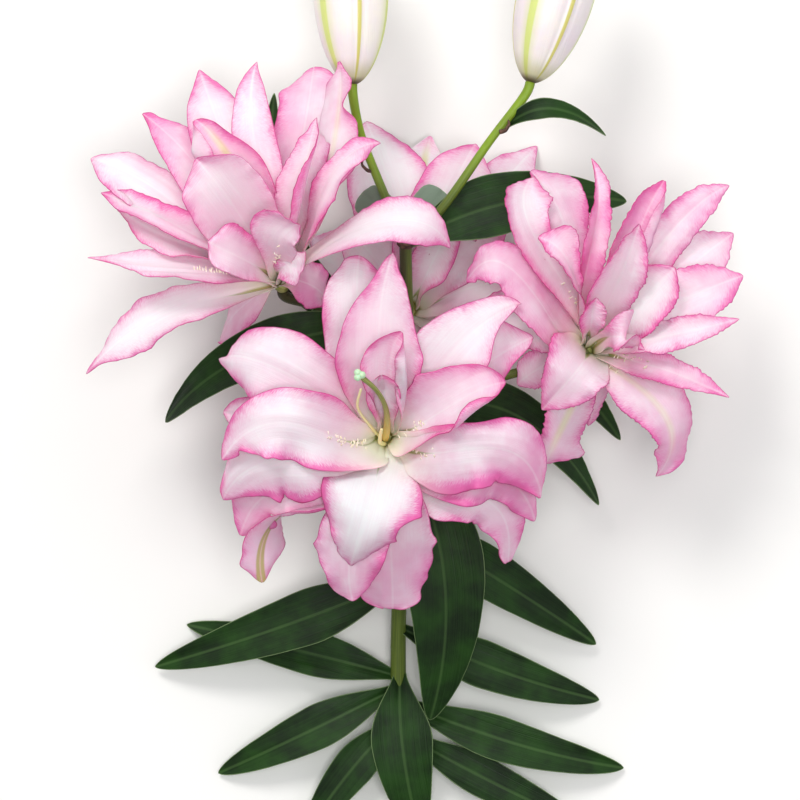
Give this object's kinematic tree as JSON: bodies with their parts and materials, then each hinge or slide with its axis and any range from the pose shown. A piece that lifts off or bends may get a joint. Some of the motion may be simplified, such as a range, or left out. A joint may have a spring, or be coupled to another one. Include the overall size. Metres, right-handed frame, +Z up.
{
  "type": "double oriental lily flowering stem",
  "caption": "Cut lily stem lying on a surface, with large double blooms, closed buds, lance-shaped leaves and a curved pistil.",
  "frame": {"origin": "middle of the small flat spot under the stem's cut end, on the surface that the stem lies on", "axes": "+Y from the stem's cut end to the buds, +Z up, towards the side that the front bloom faces, +X to the viewer's right"},
  "size_m": [0.3629, 0.5462, 0.1607],
  "materials": {
    "foliage": "dark green, softly glossy, finely ribbed along the leaf",
    "petal": "soft satin, white to pale pink with a bright pink margin",
    "bud_skin": "satin, cream white with yellow-green seams",
    "pistil": "smooth, olive to yellow-green",
    "filament": "smooth, cream yellow"
  },
  "bodies": {
    "root": {"leafy_stem": "foliage", "bloom_front": "petal", "bloom_left": "petal", "bloom_right": "petal", "bloom_rear": "petal", "bud_left": "bud_skin", "bud_right": "bud_skin", "pistil": "pistil", "filament_long": "filament", "filament_short": "filament"}
  },
  "joints": []
}
